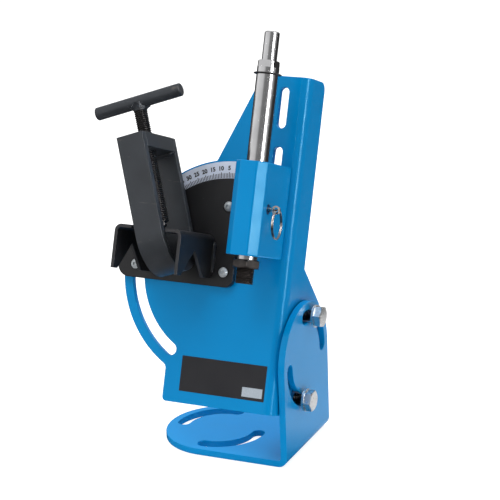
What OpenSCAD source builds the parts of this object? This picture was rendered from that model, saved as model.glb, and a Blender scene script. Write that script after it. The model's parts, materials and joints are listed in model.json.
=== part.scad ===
// Tilting notcher for round tube: an L-shaped swivel bracket carries a bent plate frame.
// The frame holds a sliding drill spindle and a tube clamp that swings round a degree scale.
// Origin: centre of the foot's round end, on the surface it is bolted to. +Z is up, +X is to
// the right along the tube, +Y is away from the spindle. Frame coordinates (u, v, w) start at
// the tilt axis on the bracket's outer face and lean back with the frame.

/* [Mounting bracket] */
// Width of the foot and of the upright plate
bracket_w = 100; // [90:1:130]
// Plate thickness of the bracket
bracket_t = 6; // [4:0.5:8]
// Outer bend radius between foot and upright plate
bracket_bend_r = 9; // [8.5:0.5:14]
// Distance from the foot's centre to the bracket's outer face
foot_reach = 86; // [75:1:110]
// Height of the tilt axis above the bench
tilt_h = 85.5; // [84:0.5:110]
// Radius of the slot circle in the foot
foot_slot_r = 37; // [30:0.5:38]
// Radius of the tilt slots' circle
tilt_slot_r = 37; // [30:0.5:38]
// Clearance of a tilt bolt in the bracket's slots
bracket_slot_gap = 1.5; // [0.6:0.1:2.5]
// First angle of the front foot slot, seen from above
foot_slot_from = -90; // [-95:1:-60]
// Last angle of the front foot slot, seen from above
foot_slot_to = 0; // [-30:1:5]
// Forward reach of the tilt slots past upright, in degrees
tilt_slot_forward = 1; // [1:1:5]
// Backward reach of the tilt slots from upright, in degrees
tilt_slot_back = 91; // [70:1:95]

/* [Frame] */
// Backward tilt of the frame
tilt = 21; // [0:1:60]
// Plate thickness of the frame
frame_t = 6; // [4:0.5:8]
// Outer bend radius of the frame
frame_bend_r = 9; // [8.5:0.5:14]
// Gap between bracket and frame, filled by thin liners
frame_gap = 1; // [0.6:0.1:3]
// Distance from the tilt axis forward to the frame's front face
frame_front = 46; // [42:0.5:60]
// Height of the frame's top edge above the tilt axis
frame_top = 241; // [225:1:290]
// Depth of the frame's bottom edge below the tilt axis
frame_bottom = 52; // [44:1:60]
// Distance from the outer face to the lower block's left edge
frame_left = 113.5; // [105:0.5:125]
// Distance from the outer face to the left end of the top edge
frame_top_left = 52.3; // [48:0.1:60]
// Distance in front of the tilt axis of the flange's back edge
flange_back = 10; // [8:0.5:20]
// Height above the tilt axis where the flange starts to widen
flange_neck = 77; // [70:1:95]
// Radius of the flange's disc round the tilt axis
flange_disc_r = 50; // [48:0.5:52]
// Distance behind the tilt axis of the flange's rounded heel
heel_v = 28; // [20:0.5:32]
// Height of the flange's rounded heel above the tilt axis
heel_w = 42; // [38:0.5:48]
// Radius of the flange's heel
heel_r = 8.7; // [4:0.1:12]
// Radius of the flange's upper corner
flange_corner_r = 8; // [3:0.5:12]
// Angle round the swing pivot at which the straight diagonal edge leaves the arc
diagonal_a = 102.2; // [98:0.1:104]

/* [Spindle position slots] */
// Distance of the spindle slots and the spindle from the bracket's outer face
spindle_u = 30; // [26:0.5:34]
// Clearance of a block bolt in the spindle slots
block_slot_gap = 0.5; // [0.3:0.1:1.5]
// Length of each spindle slot
block_slot_len = 35.8; // [28:0.2:38]
// Spacing of the spindle slots
block_slot_pitch = 51.8; // [44:0.2:54]
// Height of the lowest slot's lower end
block_slot_start = 92; // [88:0.5:100]

/* [Swing clamp carrier] */
// Clearance between the bearing block and the carrier's right edge
carrier_side_gap = 11; // [8:0.5:14]
// Height of the swing pivot above the tilt axis
pivot_w = 66; // [64:0.5:70]
// Plate thickness of the carrier
carrier_t = 6; // [4:0.5:8]
// Clearance between the carrier and the degree scale under it
scale_gap = 0.1; // [0.05:0.05:0.6]
// Distance of the carrier's bottom edge below the pivot
carrier_drop = 13; // [12.5:0.5:16]
// Distance of the carrier's right edge from the pivot
carrier_right = 9.5; // [9:0.5:11]
// Distance from the ear screw to the ear's end
ear_end = 17.5; // [14:0.5:22]
// Height of the carrier's ear
ear_h = 30; // [26:1:34]
// Distance of the carrier's round edge inside the ear screw's circle
ear_step = 3; // [1:0.5:6]
// Radius of the hidden inner swing slot
inner_slot_r = 57.5; // [54:0.5:60]
// Width of both swing slots
swing_slot_w = 11; // [10.8:0.1:12]
// Largest swing of the clamp
swing_max = 57; // [40:1:57]

/* [Degree scale and label] */
// Radial width of the degree scale
scale_w = 14.8; // [10:0.1:18]
// Width of the plate's rim outside the degree scale
scale_rim = 1.6; // [0.5:0.1:6]
// Thickness of the degree scale
scale_t = 0.4; // [0.3:0.05:0.8]
// Length of the blank label
label_len = 81; // [60:0.5:84]
// Height of the blank label
label_h = 31; // [20:0.5:33]
// Distance of the label's left edge from the plate's left edge
label_inset = 15.6; // [8:0.1:18]
// Distance of the label's lower edge from the frame's bottom edge
label_rise = 10.7; // [5:0.1:12]
// Thickness of the blank label
label_t = 0.25; // [0.2:0.05:0.3]
// Thickness of the blank sticker on the label
sticker_t = 0.1; // [0.08:0.01:0.12]

/* [Tube jaw] */
// Height of the jaw channel
jaw_h = 38; // [34:0.5:44]
// Depth of the jaw in front of the carrier
jaw_depth = 69; // [66:0.5:74]
// Sheet thickness of the jaw
jaw_t = 3; // [2.5:0.1:4]
// Outer bend radius of the jaw
jaw_bend_r = 6; // [4.5:0.5:8]
// Distance from the swing pivot to the jaw's right side
jaw_side = 11.5; // [9:0.5:16]
// Distance from the jaw's left side to the ear screw
ear_side = 10.5; // [9:0.5:16]
// Height of the jaw's top above the swing pivot
jaw_top = 31.6; // [28:0.2:36]
// Depth of the V notches
vee_depth = 22.3; // [18:0.1:26]
// Half width of the V notches at the bottom
vee_half = 22.8; // [18:0.1:24]

/* [Clamp yoke] */
// Sideways lean of the yoke and screw at rest, the largest that they have
lean = 19.4; // [0:0.1:25]
// Clearance between the leaning yoke and the jaw's flanges
yoke_side_gap = 1.8656; // [0.5:0.0001:4]
// Clearance of the leaning yoke in the jaw's web
web_gap = 1.44; // [0.5:0.01:3]
// Clearance between the yoke and the carrier
yoke_gap = 5.4; // [2:0.1:9]
// Width of the yoke strap
yoke_w = 25; // [20:0.5:32]
// Thickness of the yoke strap
yoke_t = 6.5; // [4:0.5:7]
// Outer depth of the yoke
yoke_depth = 66.2; // [56:0.2:80]
// Thickness of the yoke's top bar
yoke_bar_t = 12.8; // [9:0.1:16]
// Height of the top bar above the jaw
yoke_rise = 80.8; // [74:0.1:90]
// Depth of the loop's underside below the jaw's top
yoke_drop = 39.8; // [37:0.2:40]

/* [Clamp screw] */
// Diameter of the clamp screw
screw_d = 12; // [10:1:14]
// Diameter of the tee handle
tee_d = 11.6; // [8:0.1:14]
// Length of the tee handle
tee_len = 83; // [60:1:110]
// Height of the tee handle above the jaw
tee_rise = 113.5; // [110:0.5:125]
// Diameter of the screw's pressure tip
nose_d = 7; // [5:0.5:8]
// Length of the pressure tip below the screw
nose_len = 5.5; // [3:0.5:8]

/* [Bearing block] */
// Width of the bearing block
block_w = 30; // [29:0.5:34]
// Height of the bearing block
block_h = 80; // [74:1:90]
// Distance from the spindle axis to the block's front face
block_nose = 18.7; // [14:0.1:22]
// Chamfer of the block's front corners
block_chamfer = 7.5; // [3:0.5:9]
// Wall of the bronze bushings
bushing_wall = 2.425; // [1.5:0.005:2.6]
// Clearance round the spindle between the bushings
bore_gap = 1.5; // [0.6:0.1:2]
// Length of the bronze bushings
bushing_len = 20; // [12:1:30]
// Radial running clearance of spindle and pins
run_gap = 0.05; // [0.02:0.01:0.08]

/* [Spindle] */
// Diameter of the spindle
spindle_d = 19.05; // [18:0.05:20]
// Diameter of the drill shank
shank_d = 13; // [10:0.1:14]
// Length of the drill shank
shank_len = 24.8; // [20:0.1:40]
// Length of spindle between the block's top and the shank
spindle_above = 86.3; // [80:0.1:110]
// Length of spindle between the block's underside and the hex collar
spindle_below = 3; // [2.8:0.1:12]
// Distance of the stop ring below the shank's shoulder
ring_drop = 11.3; // [8.5:0.1:14]
// Width across the spindle's four wrench flats
wrench_af = 15; // [13.8:0.1:17]
// Distance of the spindle's axis from the yoke's, toward the plate
axis_step = 3.7; // [0:0.1:5]
// Width across the hex collar's flats
hex_af = 22.2; // [20.6:0.1:24]
// Height of the hex collar
hex_h = 7.6; // [5:0.1:10]
// Diameter of the hole-saw thread
thread_d = 15.875; // [12.7:0.005:16]
// Length of the hole-saw thread
thread_len = 13.1; // [10:0.1:20]

/* [Lock pin] */
// Diameter of the lock pin
lock_d = 4.5; // [3.5:0.1:5]
// Diameter of the pull ring, over its wire
ring_d = 26.5; // [22:0.5:28]
// Wire thickness of the pull ring
ring_wire = 2.1; // [1.6:0.1:2.4]

/* [Fasteners] */
// Diameter of the tilt bolts
tilt_bolt_d = 10; // [8:1:10]
// Distance of the tilt bolts' washers from the bracket, slackened off
tilt_slack = 3.3; // [0.5:0.1:8]
// Diameter of the block bolts
block_bolt_d = 8; // [6:1:8]
// Diameter of the carrier screws
carrier_bolt_d = 5; // [4:1:6]
// Head diameter of the carrier screws
carrier_head_d = 8.8; // [8.6:0.1:12]

/* [Hidden] */
$fn = 96;

// Overshoot of cuts, so that they break through cleanly
eps = 0.5;
// How far a blending circle overlaps or stays inside the curves that it joins
bite = 0.05;
// Thickness of all plain washers
washer_t = 2;
// Ratio of a hex head's height to its thread
head_ratio = 0.64;
// Ratio of a nut's height to its thread
nut_ratio = 0.8;

// Main levels in frame coordinates: plate, carrier, then the axes of yoke and spindle
flange_u = -bracket_t - frame_gap;
plate_back_v = frame_t - frame_front;
carrier_gap = scale_t + scale_gap;
carrier_back_v = -frame_front - carrier_gap;
carrier_front_v = carrier_back_v - carrier_t;
yoke_v = carrier_front_v - yoke_gap - yoke_depth / 2;
saw_v = yoke_v + axis_step;
bracket_slot_w = tilt_bolt_d + bracket_slot_gap;
block_slot_w = block_bolt_d + block_slot_gap;

// Widths from the yoke outwards: jaw channel, ear screw, carrier, scale, plate
jaw_w = 2 * (jaw_h * tan(lean) + yoke_w / (2 * cos(lean)) + yoke_side_gap + jaw_t);
jaw_off = jaw_side + jaw_w / 2;
swing_slot_r = jaw_side + jaw_w + ear_side;
carrier_r = swing_slot_r - ear_step;
ear_reach = swing_slot_r + ear_end;
pivot_u = spindle_u + block_w / 2 + carrier_side_gap + carrier_right;
scale_r = carrier_r + 0.6;
arc_r = scale_r + scale_w + scale_rim;
label_left = frame_left - label_inset;
scale_from = 87;
scale_to = 153;
sticker_size = [19, 8.2];
sticker_inset = [2.1, 2.6];
// Directions square to the flange's sloping edges: from heel to disc, and from neck to heel
disc_turn = atan2(heel_w, heel_v) - acos((flange_disc_r - heel_r) / norm([heel_v, heel_w]));
neck_run = [heel_v + flange_back, heel_w - flange_neck];
neck_turn = atan2(neck_run[1], neck_run[0]) + asin(heel_r / norm(neck_run)) + 90;
// Inner corner between the plate's left edge and its large arc
notch_r = 6;
notch_u = -frame_left - notch_r;
notch_w = pivot_w - sqrt(pow(arc_r + notch_r, 2) - pow(frame_left + notch_r - pivot_u, 2));

// Bearing block
block_bottom = block_slot_start + block_slot_w / 2 + block_slot_pitch / 2 - block_h / 2;
block_top = block_bottom + block_h;
block_gap = 0.1;
block_tap_len = 18;
block_bolt_ws = [for (side = [-1, 1]) block_bottom + block_h / 2 + side * block_slot_pitch / 2];
lock_w = block_bottom + block_h / 2 + 1;
shoulder_w = block_top + spindle_above;
stop_w = shoulder_w - ring_drop;
hex_top = block_bottom - spindle_below;
ring_minor = 0.75;
ring_aspect = 2.2;
ring_reach = 2.5;
bushing_d = spindle_d + 2 * run_gap + 2 * bushing_wall;

// Clamp
jaw_u = -pivot_u - jaw_off;
jaw_top_w = pivot_w + jaw_top;
web_slot_w = yoke_w / cos(lean) + 2 * jaw_t * tan(lean) + 2 * web_gap;
web_slot_len = 16;
web_slot_out = 2;
yoke_r = yoke_depth / 2;
yoke_inner_r = yoke_r - yoke_t;
yoke_leg_top = yoke_rise - yoke_bar_t;
loop_w = yoke_r - yoke_drop;
seat_gap = 0.1;
ball_r = nose_d / 2 + 0.3;
ball_rise = (ball_r + seat_gap) / cos(lean);
nose_stem_d = nose_d - 3;
nose_stem_len = 9;
third_bolt = [-pivot_u - 1.7, pivot_w + inner_slot_r];
ear_bolt = [-pivot_u - swing_slot_r, pivot_w - 1];
guide_d = swing_slot_w - 0.4;

// Lock pin and ring
lock_v = saw_v;
bush_d = lock_d + 3.5;
bush_step = 0.545;
bore_r = spindle_d / 2 + bore_gap;
bush_len = block_w / 2 - bore_r - bush_step;
eye_d = 7.4;
eye_hole_d = 4.6;
eye_t = 2.2;
eye_play = (eye_hole_d - ring_wire) / 6;
face_u = block_w / 2 - spindle_u;
eye_u = face_u + 6.8;
ring_r = (ring_d - ring_wire) / 2;

// ---- Places -------------------------------------------------------------------------------

// From frame coordinates (u, v, w) to the part's own frame, for the given tilt
module on_frame() {
  translate([foot_reach, 0, tilt_h])
    rotate([-tilt, 0, 0])
      children();
}

// Clamp coordinates: origin on the jaw's top at the screw's foot, +Z along the leaning screw
module on_clamp() {
  on_frame()
    translate([jaw_u, yoke_v, jaw_top_w])
      rotate([0, -lean, 0])
        children();
}

// A flat outline in (u, w), standing with its back at the given v
module plate_uw(back_v, thickness) {
  translate([0, back_v, 0])
    rotate([90, 0, 0])
      linear_extrude(thickness)
        children();
}

// A flat outline in (v, w), standing with its left face at the given u
module plate_vw(left_u, thickness) {
  translate([left_u, 0, 0])
    rotate([90, 0, 90])
      linear_extrude(thickness)
        children();
}

// A cylinder along +Y from the given v
module rod_y(from_v, length, d, sides = $fn) {
  translate([0, from_v, 0])
    rotate([-90, 0, 0])
      cylinder(d = d, h = length, $fn = sides);
}

// A cylinder along +X from the given u
module rod_x(from_u, length, d, sides = $fn) {
  translate([from_u, 0, 0])
    rotate([0, 90, 0])
      cylinder(d = d, h = length, $fn = sides);
}

// ---- Outlines -----------------------------------------------------------------------------

// L section of a bent plate: outer corner at the origin, arms along -X and +Y
module bent_section(arm_x, arm_y, thickness, bend_r) {
  difference() {
    union() {
      translate([-arm_x, 0])
        square([arm_x, thickness]);
      translate([-thickness, 0])
        square([thickness, arm_y]);
      difference() {
        translate([-bend_r, 0])
          square(bend_r);
        translate([-bend_r, bend_r])
          circle(bend_r - thickness);
      }
    }
    difference() {
      translate([-bend_r, -eps])
        square(bend_r + eps);
      translate([-bend_r, bend_r])
        circle(bend_r);
    }
  }
}

// Sector of a disc, less than a half turn wide
module wedge(r, from_a, to_a) {
  mid_a = (from_a + to_a) / 2;
  polygon([[0, 0], for (a = [from_a, (from_a + mid_a) / 2, mid_a, (mid_a + to_a) / 2, to_a])
    2 * r * [cos(a), sin(a)]]);
}

// Curved slot: its end centres lie at the given angles on a circle of radius r. The end
// circles are a hair narrower than the slot, so that no edge just touches another
module arc_slot(r, width, from_a, to_a) {
  intersection() {
    difference() {
      circle(r + width / 2);
      circle(r - width / 2);
    }
    wedge(r + width, from_a, to_a);
  }
  for (a = [from_a, to_a])
    translate(r * [cos(a), sin(a)])
      circle(d = width - 2 * bite);
}

// Straight upright slot, from its lower end
module upright_slot(width, length) {
  translate([-width / 2, width / 2])
    square([width, length - width]);
  for (y = [width / 2, length - width / 2])
    translate([0, y])
      circle(d = width);
}

// Rectangle with round corners, from its lower left corner
module round_rect(size, r) {
  translate([r, 0])
    square([size[0] - 2 * r, size[1]]);
  translate([0, r])
    square([size[0], size[1] - 2 * r]);
  for (x = [r, size[0] - r], y = [r, size[1] - r])
    translate([x, y])
      circle(r);
}

// ---- Fasteners ----------------------------------------------------------------------------

// Hexagon prism along +Z with turned-off corners
module hex_prism(across, height) {
  intersection() {
    cylinder(d = across / cos(30), h = height, $fn = 6);
    union() {
      cylinder(d1 = across * 0.97, d2 = across * 1.17, h = height / 4);
      translate([0, 0, height / 4])
        cylinder(d = across * 1.17, h = height / 2);
      translate([0, 0, height * 3 / 4])
        cylinder(d1 = across * 1.17, d2 = across * 0.97, h = height / 4);
    }
  }
}

// Ring washer along +Z
module washer(outer_d, hole_d, thickness) {
  difference() {
    cylinder(d = outer_d, h = thickness);
    translate([0, 0, -eps])
      cylinder(d = hole_d, h = thickness + 2 * eps);
  }
}

// Low domed screw head along +Z with a hexagon socket
module button_head(d, socket) {
  head_h = d * 0.36;
  dome_r = (d * d / 4 + head_h * head_h) / (2 * head_h);
  difference() {
    intersection() {
      cylinder(d = d, h = head_h);
      translate([0, 0, head_h - dome_r])
        sphere(dome_r);
    }
    translate([0, 0, head_h * 0.45])
      cylinder(d = socket / cos(30), h = head_h, $fn = 6);
  }
}

// ---- Root: mounting bracket ---------------------------------------------------------------

// Foot and upright plate bent from one plate, each with two opposite curved slots
module mounting_bracket() {
  half = bracket_w / 2;
  color([0.30, 0.62, 0.86])
  difference() {
    intersection() {
      translate([foot_reach, half + eps, 0])
        rotate([90, 0, 0])
          linear_extrude(bracket_w + 2 * eps)
            bent_section(foot_reach + half + eps, tilt_h + half + eps, bracket_t, bracket_bend_r);
      translate([0, 0, -eps])
        linear_extrude(tilt_h + half + 3 * eps) {
          circle(half);
          translate([0, -half])
            square([foot_reach + eps, bracket_w]);
        }
      plate_vw(-half - 2 * eps, foot_reach + half + 4 * eps) {
        translate([0, tilt_h])
          circle(half);
        translate([-half - eps, -eps])
          square([bracket_w + 2 * eps, tilt_h + eps]);
      }
    }
    translate([0, 0, -eps])
      linear_extrude(bracket_t + 2 * eps)
        for (turn = [0, 180])
          rotate(turn)
            arc_slot(foot_slot_r, bracket_slot_w, foot_slot_from, foot_slot_to);
    translate([foot_reach, 0, tilt_h])
      plate_vw(-bracket_t - eps, bracket_t + 2 * eps)
        for (turn = [0, 180])
          rotate(turn)
            arc_slot(tilt_slot_r, bracket_slot_w, 90 - tilt_slot_back, 90 + tilt_slot_forward);
  }
}

// ---- Frame that tilts in the bracket ------------------------------------------------------

// Front outline of the frame in (u, w)
module frame_front_outline() {
  corner = 4;
  foot = [-pivot_u, pivot_w] + (arc_r - 0.2) * [cos(diagonal_a), sin(diagonal_a)];
  overrun = 0.05 * ([-frame_top_left, frame_top] - foot);
  to_pivot = [-pivot_u - notch_u, pivot_w - notch_w] / (arc_r + notch_r);
  translate([-frame_left, -frame_bottom])
    round_rect([frame_left + corner + eps, frame_bottom + pivot_w], corner);
  translate([-pivot_u, pivot_w])
    circle(arc_r);
  polygon([[-pivot_u, pivot_w], [eps, 0], [eps, frame_top + overrun[1]],
    [-frame_top_left, frame_top] + overrun, foot]);
  difference() {
    polygon([[-frame_left + 2, notch_w], [-frame_left + 2, notch_w + 2 * notch_r],
      [notch_u, notch_w] + (notch_r + 2) * to_pivot, [notch_u, notch_w]]);
    translate([notch_u, notch_w])
      circle(notch_r + bite);
  }
}

// Side outline of the frame in (v, w): the whole depth of the front plate and the flange
module frame_side_outline() {
  flange_depth = frame_front - flange_back + eps;
  translate([-frame_front - eps, -frame_bottom - eps])
    square([flange_depth, frame_bottom + frame_top - flange_corner_r + eps]);
  translate([-frame_front - eps, frame_top - 2 * flange_corner_r])
    square([flange_depth - flange_corner_r, 2 * flange_corner_r]);
  translate([-flange_back - flange_corner_r, frame_top - flange_corner_r])
    circle(flange_corner_r);
  circle(flange_disc_r);
  translate([heel_v, heel_w])
    circle(heel_r);
  polygon([[-flange_back - 2, 0],
    (flange_disc_r - bite) * [cos(disc_turn), sin(disc_turn)],
    [heel_v, heel_w] + (heel_r - bite) * [cos(disc_turn), sin(disc_turn)],
    [heel_v, heel_w] + (heel_r - bite) * [cos(neck_turn), sin(neck_turn)],
    [-flange_back, flange_neck] - 2 * [sin(neck_turn), -cos(neck_turn)]]);
}

// All openings of the front plate in (u, w)
module frame_openings() {
  for (index = [0:2])
    translate([-spindle_u, block_slot_start + index * block_slot_pitch])
      upright_slot(block_slot_w, block_slot_len);
  translate([-pivot_u, pivot_w]) {
    circle(d = guide_d + 2 * run_gap);
    arc_slot(swing_slot_r, swing_slot_w, 179, 181 + swing_max);
    arc_slot(inner_slot_r, swing_slot_w, 90, 93 + swing_max);
  }
}

// Bent frame plate with a flange on the bracket side
module main_frame() {
  color([0.02, 0.47, 0.80])
  on_frame()
    difference() {
      intersection() {
        translate([flange_u, -frame_front, -frame_bottom - eps])
          linear_extrude(frame_bottom + frame_top + 2 * eps)
            bent_section(pivot_u + arc_r + eps, frame_front + flange_disc_r + eps,
              frame_t, frame_bend_r);
        plate_uw(flange_disc_r + 2 * eps, frame_front + flange_disc_r + 4 * eps)
          frame_front_outline();
        plate_vw(-pivot_u - arc_r - 2 * eps, pivot_u + arc_r + 4 * eps)
          frame_side_outline();
      }
      plate_uw(plate_back_v + eps, frame_t + 2 * eps)
        frame_openings();
      for (side = [-1, 1])
        translate([0, 0, side * tilt_slot_r])
          rod_x(flange_u - frame_t - eps, frame_t + 2 * eps, tilt_bolt_d + 0.4);
    }
}

// Puts a tilt fastener above and below the tilt axis
module at_tilt_bolts(at_u) {
  for (side = [-1, 1])
    on_frame()
      translate([at_u, 0, side * tilt_slot_r])
        rotate([0, 90, 0])
          rotate(14)
            children();
}

// Two slackened hexagon bolts through the bracket's slots
module tilt_bolts() {
  head_u = tilt_slack + washer_t;
  shank_len = head_u - flange_u + frame_t + nut_ratio * tilt_bolt_d + 2;
  color([0.80, 0.80, 0.80])
  at_tilt_bolts(head_u) {
    hex_prism(1.7 * tilt_bolt_d, head_ratio * tilt_bolt_d);
    translate([0, 0, -shank_len])
      cylinder(d = tilt_bolt_d, h = shank_len);
  }
}

// Washers under the tilt bolts' heads
module tilt_washers() {
  color([0.82, 0.82, 0.82])
  at_tilt_bolts(tilt_slack)
    washer(2 * tilt_bolt_d, tilt_bolt_d, washer_t);
}

// Thin liners that keep frame and bracket apart
module tilt_liners() {
  liner_t = frame_gap - 0.2;
  color([0.85, 0.85, 0.82])
  at_tilt_bolts(flange_u)
    washer(2 * tilt_bolt_d, tilt_bolt_d, liner_t);
}

// Nuts of the tilt bolts, inside the flange
module tilt_nuts() {
  nut_h = nut_ratio * tilt_bolt_d;
  color([0.78, 0.78, 0.78])
  at_tilt_bolts(flange_u - frame_t - nut_h)
    difference() {
      hex_prism(1.7 * tilt_bolt_d, nut_h);
      translate([0, 0, -eps])
        cylinder(d = tilt_bolt_d, h = nut_h + 2 * eps);
    }
}

// Curved scale plate between carrier and plate edge
module degree_scale() {
  color([0.78, 0.80, 0.86])
  on_frame()
    plate_uw(-frame_front, scale_t)
      translate([-pivot_u, pivot_w])
        intersection() {
          difference() {
            circle(scale_r + scale_w);
            circle(scale_r);
          }
          wedge(scale_r + scale_w, scale_from, scale_to);
        }
}

// Blank label low on the front plate
module blank_label() {
  color([0.10, 0.10, 0.11])
  on_frame()
    plate_uw(-frame_front, label_t)
      translate([-label_left, label_rise - frame_bottom])
        square([label_len, label_h]);
}

// Blank sticker in the label's lower right corner
module blank_sticker() {
  color([0.90, 0.90, 0.90])
  on_frame()
    plate_uw(-frame_front - label_t, sticker_t)
      translate([label_len - label_left - sticker_inset[0] - sticker_size[0],
        label_rise - frame_bottom + sticker_inset[1]])
        square(sticker_size);
}

// ---- Clamp carrier and jaw that swing over the scale --------------------------------------

// Sector plate with an ear, on the face of the frame
module clamp_carrier() {
  ear_corner = 11;
  inner_corner = 8;
  color([0.11, 0.11, 0.12])
  on_frame()
    plate_uw(carrier_back_v, carrier_t)
      translate([-pivot_u, pivot_w])
        difference() {
          union() {
            intersection() {
              circle(carrier_r);
              translate([carrier_right - 2 * carrier_r, -carrier_drop])
                round_rect([2 * carrier_r, 2 * carrier_r], inner_corner);
            }
            translate([-ear_reach, -carrier_drop])
              round_rect([ear_reach, ear_h], ear_corner);
          }
          for (spot = carrier_spots())
            translate(spot + [pivot_u, -pivot_w])
              circle(d = carrier_bolt_d + 0.2);
        }
}

// Centres of the three carrier screws in (u, w): pivot, ear and inner slot
function carrier_spots() = [[-pivot_u, pivot_w], ear_bolt, third_bolt];

// Puts a fastener at carrier screws, with +Z out of the front face
module at_carrier_screws(at_v, spots) {
  on_frame()
    for (spot = spots)
      translate([spot[0], at_v, spot[1]])
        rotate([90, 0, 0])
          children();
}

// Bent channel welded to the carrier, with V notches that seat the tube
module clamp_jaw() {
  half = jaw_w / 2;
  bottom_w = jaw_top_w - jaw_h;
  tip_r = 2;
  color([0.09, 0.09, 0.10])
  on_frame()
    difference() {
      translate([jaw_u, carrier_front_v, bottom_w])
        rotate([90, 0, 0])
          linear_extrude(jaw_depth)
            for (side = [0, 1])
              mirror([side, 0])
                translate([half, jaw_h])
                  mirror([0, 1])
                    bent_section(half, jaw_h, jaw_t, jaw_bend_r);
      plate_vw(jaw_u - half - eps, jaw_w + 2 * eps)
        polygon([[yoke_v - vee_half - eps, bottom_w - eps], [yoke_v, bottom_w + vee_depth],
          [yoke_v + vee_half + eps, bottom_w - eps]]);
      // Openings of the web for the yoke's two straps, which draw together as the loop rises
      for (side = [-1, 1])
        translate([jaw_u - web_slot_w / 2,
          yoke_v + side * (yoke_r + web_slot_out - web_slot_len / 2) - web_slot_len / 2,
          jaw_top_w - jaw_t - eps])
          cube([web_slot_w, web_slot_len, jaw_t + 2 * eps]);
    }
}

// Weld beads between the jaw's flanges and the carrier
module jaw_welds() {
  bead = 3;
  bead_h = jaw_h - jaw_bend_r - 3;
  color([0.13, 0.13, 0.14])
  on_frame()
    for (side = [0, 1])
      translate([jaw_u, carrier_front_v, jaw_top_w - jaw_h + 3])
        mirror([side, 0, 0])
          translate([jaw_w / 2, 0, 0])
            intersection() {
              cylinder(r = bead, h = bead_h);
              translate([0, -bead, 0])
                cube([bead, bead, bead_h]);
            }
}

// Sleeve that the carrier swings on
module pivot_sleeve() {
  color([0.70, 0.70, 0.70])
  at_carrier_screws(plate_back_v, [carrier_spots()[0]])
    washer(guide_d, carrier_bolt_d, frame_t + carrier_gap);
}

// Sleeves that ride in the two swing slots
module slot_guides() {
  color([0.70, 0.70, 0.70])
  at_carrier_screws(plate_back_v, [ear_bolt, third_bolt])
    washer(guide_d - 0.4, carrier_bolt_d, frame_t + carrier_gap);
}

// Three domed screws through carrier and frame
module carrier_screws() {
  under_head_v = carrier_front_v - 0.4;
  shank_len = plate_back_v - under_head_v + washer_t + carrier_bolt_d + 2;
  color([0.85, 0.85, 0.85])
  at_carrier_screws(under_head_v, carrier_spots()) {
    button_head(carrier_head_d, 3);
    translate([0, 0, -shank_len])
      cylinder(d = carrier_bolt_d, h = shank_len);
  }
}

// Dark rings under the domed heads
module carrier_washers() {
  color([0.04, 0.04, 0.04])
  at_carrier_screws(carrier_front_v, carrier_spots())
    washer(carrier_head_d + 1.8, carrier_bolt_d, 0.4);
}

// Large washers behind the frame
module carrier_back_washers() {
  color([0.78, 0.78, 0.78])
  at_carrier_screws(plate_back_v + 0.1 + washer_t, carrier_spots())
    washer(2 * swing_slot_w - 4, carrier_bolt_d, washer_t);
}

// Nuts behind the frame
module carrier_nuts() {
  color([0.75, 0.75, 0.75])
  at_carrier_screws(plate_back_v + 0.1 + washer_t + carrier_bolt_d, carrier_spots())
    difference() {
      hex_prism(1.6 * carrier_bolt_d, carrier_bolt_d);
      translate([0, 0, -eps])
        cylinder(d = carrier_bolt_d, h = carrier_bolt_d + 2 * eps);
    }
}

// ---- Clamp screw --------------------------------------------------------------------------

// Pressure tip whose ball end leans on the jaw while the screw turns above it
module screw_nose() {
  color([0.12, 0.12, 0.13])
  on_clamp() {
    intersection() {
      cylinder(d = nose_d, h = nose_len);
      union() {
        translate([0, 0, ball_rise])
          sphere(ball_r);
        translate([0, 0, ball_rise])
          cylinder(d = nose_d + 2, h = nose_len);
      }
    }
    translate([0, 0, nose_len - eps])
      cylinder(d = nose_stem_d, h = nose_stem_len + eps);
  }
}

// Threaded rod from the pressure tip up to the tee handle
module clamp_screw() {
  bore_d = nose_stem_d + 2 * run_gap;
  chamfer = 1.5;
  color([0.09, 0.09, 0.10])
  on_clamp()
    difference() {
      translate([0, 0, nose_len + seat_gap]) {
        cylinder(d1 = screw_d - 2 * chamfer, d2 = screw_d, h = chamfer);
        translate([0, 0, chamfer])
          cylinder(d = screw_d, h = tee_rise - nose_len - seat_gap - chamfer);
      }
      translate([0, 0, nose_len - eps])
        cylinder(d = bore_d, h = nose_stem_len + eps + 1);
      translate([0, 0, tee_rise])
        rod_x(-screw_d, 2 * screw_d, tee_d);
    }
}

// Round bar across the screw's top
module tee_handle() {
  chamfer = 0.8;
  color([0.22, 0.23, 0.24])
  on_clamp()
    translate([-tee_len / 2, 0, tee_rise])
      rotate([0, 90, 0]) {
        cylinder(d1 = tee_d - 2 * chamfer, d2 = tee_d, h = chamfer);
        translate([0, 0, chamfer])
          cylinder(d = tee_d, h = tee_len - 2 * chamfer);
        translate([0, 0, tee_len - chamfer])
          cylinder(d1 = tee_d, d2 = tee_d - 2 * chamfer, h = chamfer);
      }
}

// Weld bead between screw and tee handle
module tee_weld() {
  bead = 3;
  color([0.16, 0.16, 0.17])
  on_clamp()
    difference() {
      translate([0, 0, tee_rise - tee_d / 2 - bead])
        cylinder(d1 = screw_d + 0.6, d2 = screw_d + 2 * bead, h = bead + tee_d / 4);
      cylinder(d = screw_d, h = tee_rise + tee_d);
      translate([0, 0, tee_rise])
        rod_x(-2 * screw_d, 4 * screw_d, tee_d);
    }
}

// ---- Yoke that the screw draws up ---------------------------------------------------------

// Strap bent to a U, hanging through the jaw round the tube
module yoke_strap() {
  color([0.24, 0.25, 0.27])
  on_clamp()
    plate_vw(-yoke_w / 2, yoke_w) {
      for (side = [-1, 1])
        translate([side > 0 ? yoke_inner_r : -yoke_r, loop_w])
          square([yoke_t, yoke_rise - loop_w]);
      intersection() {
        translate([0, loop_w])
          difference() {
            circle(yoke_r);
            circle(yoke_inner_r);
          }
        translate([-yoke_r, loop_w - yoke_r])
          square([2 * yoke_r, yoke_r]);
      }
    }
}

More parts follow.
